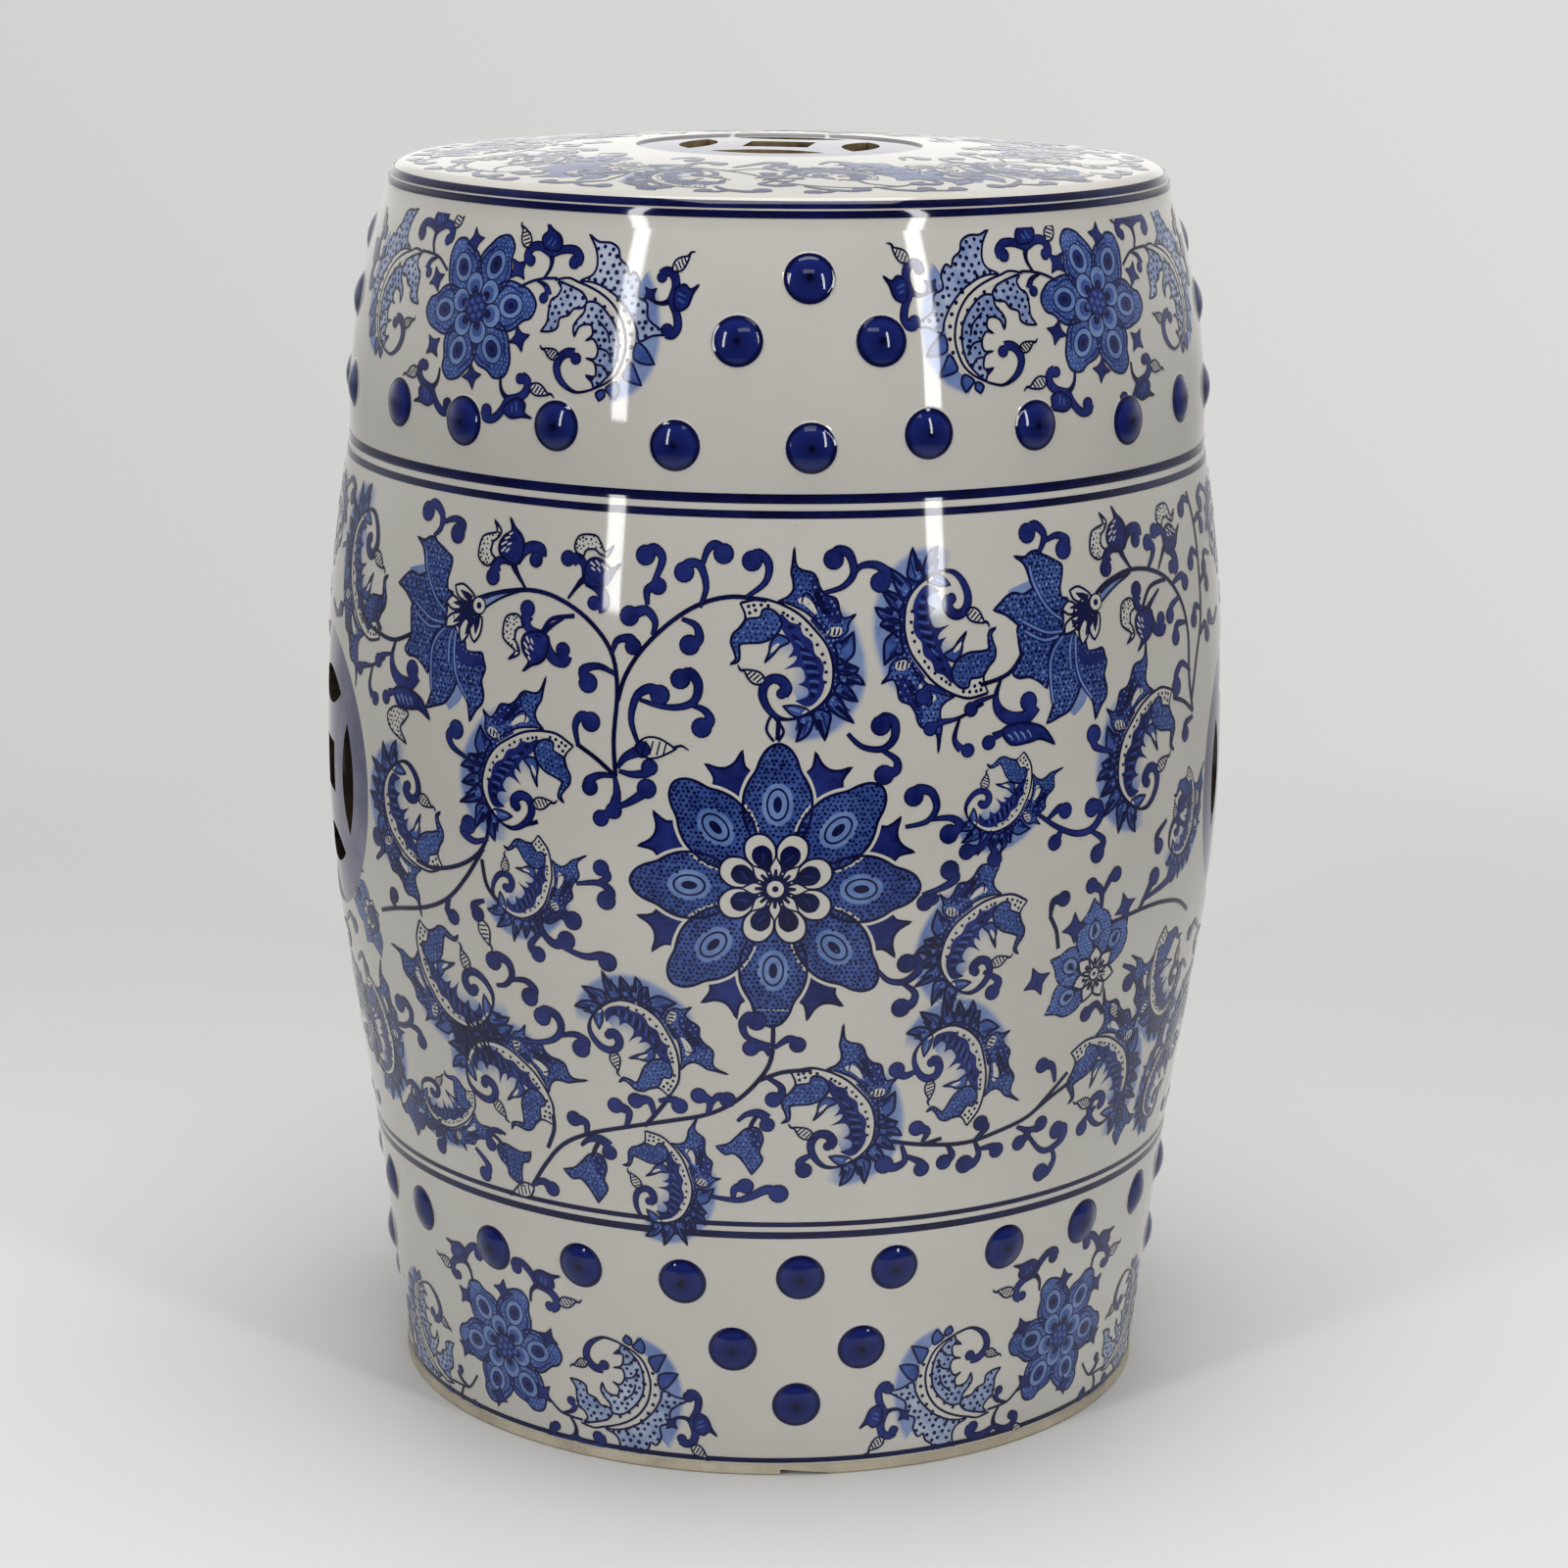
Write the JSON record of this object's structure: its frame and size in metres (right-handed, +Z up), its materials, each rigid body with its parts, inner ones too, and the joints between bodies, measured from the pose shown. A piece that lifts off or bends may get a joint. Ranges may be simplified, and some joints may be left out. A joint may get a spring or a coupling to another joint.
{
  "type": "garden stool",
  "caption": "Hollow barrel-shaped ceramic garden stool with a domed seat, nail-head bosses and pierced coin medallions, glazed white with blue scrolling flowers.",
  "frame": {"origin": "centre of the foot on the ground", "axes": "+Z up along the axis of the barrel, front (the side with the large flower) towards -Y, +X to the right seen from the front"},
  "size_m": [0.3361, 0.338, 0.4626],
  "materials": {
    "white_glaze": "clear gloss glaze over a warm white body, painted in cobalt blue",
    "lilac_glaze": "gloss glaze, purple-grey wash",
    "cobalt_glaze": "gloss glaze over cobalt blue",
    "bare_clay": "unglazed, matt",
    "inside_clay": "unglazed, matt"
  },
  "bodies": {
    "root": {"barrel_wall": "white_glaze", "seat_top": "white_glaze", "foot_ring": "bare_clay", "top_coin_medallion": "lilac_glaze", "side_coin_medallion_left": "lilac_glaze", "side_coin_medallion_right": "lilac_glaze", "upper_row_bosses": "cobalt_glaze", "lower_row_bosses": "cobalt_glaze", "upper_triangle_bosses_front": "cobalt_glaze", "upper_triangle_bosses_right": "cobalt_glaze", "upper_triangle_bosses_back": "cobalt_glaze", "upper_triangle_bosses_left": "cobalt_glaze", "lower_triangle_bosses_front": "cobalt_glaze", "lower_triangle_bosses_right": "cobalt_glaze", "lower_triangle_bosses_back": "cobalt_glaze", "lower_triangle_bosses_left": "cobalt_glaze", "seat_seam_coil": "inside_clay", "foot_seam_coil": "inside_clay", "top_medallion_coil": "inside_clay", "side_medallion_coil_left": "inside_clay", "side_medallion_coil_right": "inside_clay"}
  },
  "joints": []
}
